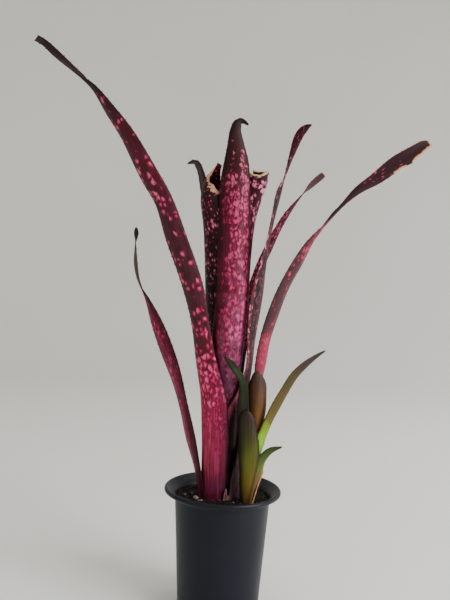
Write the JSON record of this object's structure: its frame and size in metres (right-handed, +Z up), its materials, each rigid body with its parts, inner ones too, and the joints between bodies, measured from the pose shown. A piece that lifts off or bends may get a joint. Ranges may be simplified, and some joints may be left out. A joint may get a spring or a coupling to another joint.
{
  "type": "potted hallelujah billbergia",
  "caption": "Bromeliad with long strap leaves in an upright tube, pink spots on dark maroon, and a green side shoot, in a tapered round nursery pot.",
  "frame": {"origin": "centre of the flat underside of the pot", "axes": "+Z up along the pot's axis, -Y towards the viewer of the picture, +X to the viewer's right"},
  "size_m": [0.4041, 0.12, 0.5581],
  "materials": {
    "pot_plastic": "satin charcoal",
    "potting_mix": "damp bark and grit",
    "stem": "fibrous, pale",
    "leaf": "leathery, spotted pink on maroon",
    "pup_leaf": "leathery, olive to ochre",
    "straw": "dry straw"
  },
  "bodies": {
    "root": {"pot": "pot_plastic", "potting_mix": "potting_mix", "main_stem": "stem", "pup_stem": "stem", "leaf_back_left": "leaf", "leaf_rolled_right": "leaf", "leaf_rolled_left": "leaf", "leaf_centre": "leaf", "leaf_slant_right": "leaf", "leaf_upright_right": "leaf", "leaf_long_right": "leaf", "leaf_long_left": "leaf", "leaf_short_left": "leaf", "pup_tongue": "pup_leaf", "pup_blade_right": "pup_leaf", "pup_blade_left": "pup_leaf", "pup_blade_low": "pup_leaf", "pup_scale_front": "pup_leaf", "dry_straw": "straw"}
  },
  "joints": []
}
